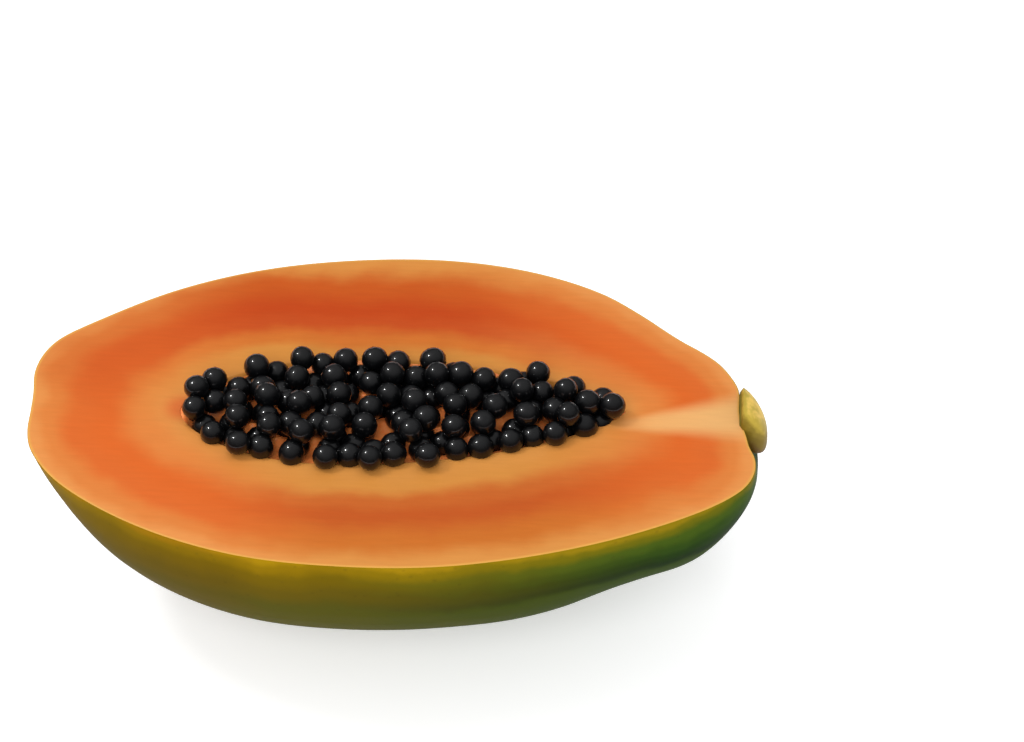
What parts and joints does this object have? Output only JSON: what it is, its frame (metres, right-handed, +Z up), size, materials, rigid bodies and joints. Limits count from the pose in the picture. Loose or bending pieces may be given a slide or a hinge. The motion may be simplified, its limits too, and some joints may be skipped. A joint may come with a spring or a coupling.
{
  "type": "papaya half",
  "caption": "Lengthwise half of a ripe papaya with green-yellow skin, orange flesh, a cavity heaped with black seeds and the stub of its stalk.",
  "frame": {"origin": "middle of the part's box at the level of the surface that it rests on", "axes": "+X along the fruit from the blossom end to the stalk end, +Z up, out of the cut face"},
  "size_m": [0.1864, 0.1124, 0.064],
  "materials": {
    "flesh": "moist orange fruit flesh inside a smooth waxy skin that runs from ochre at the cut edge to olive green",
    "seeds": "black seeds in a thin wet clear jelly coat",
    "stalk": "dull yellow-green stalk stub, browner underneath"
  },
  "bodies": {
    "root": {"flesh_and_skin": "flesh", "seed_heap": "seeds", "stalk_stub": "stalk"}
  },
  "joints": []
}
